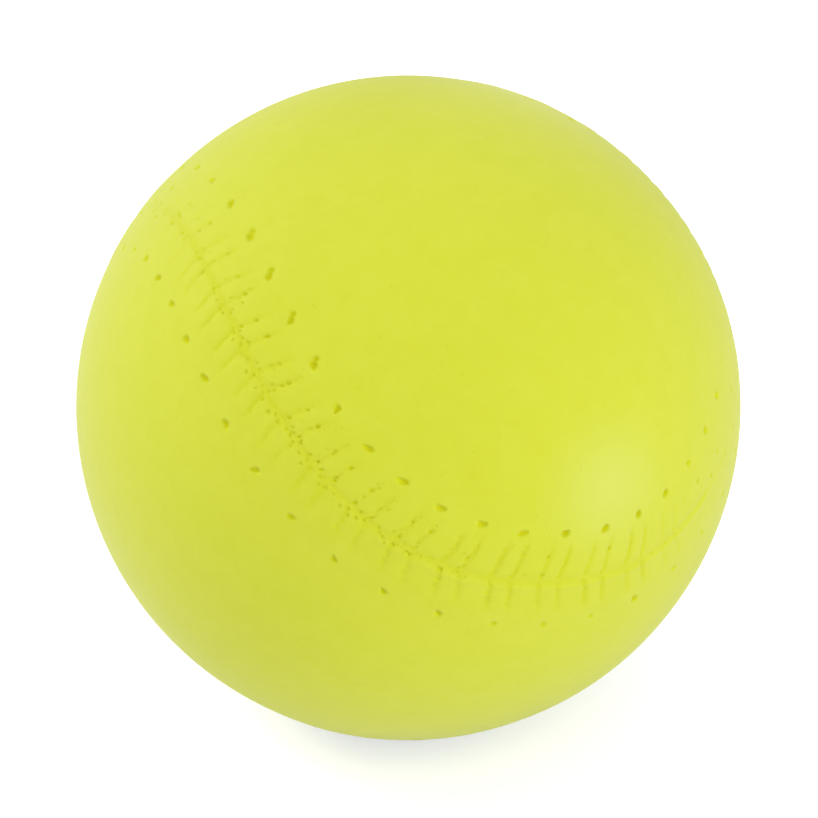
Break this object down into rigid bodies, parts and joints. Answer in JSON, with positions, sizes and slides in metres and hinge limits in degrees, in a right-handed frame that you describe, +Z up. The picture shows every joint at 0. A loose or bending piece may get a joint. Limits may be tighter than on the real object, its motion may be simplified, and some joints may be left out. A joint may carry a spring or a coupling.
{
  "type": "foam baseball",
  "caption": "Soft one-piece foam practice ball: dense moulded skin with baseball seam, stitch straps and needle holes in relief, over a cellular foam core.",
  "frame": {"origin": "centre of the ball", "axes": "+Z up as the ball lies in the picture, on its lowest point; the picture looks along +Y from 20 degrees above, with +X to its right; the seam has its own tilt to these axes"},
  "size_m": [0.0729, 0.073, 0.073],
  "materials": {
    "foam_skin": "satin",
    "foam_cells": "matte"
  },
  "bodies": {
    "root": {"moulded_skin": "foam_skin", "foam_core": "foam_cells"}
  },
  "joints": []
}
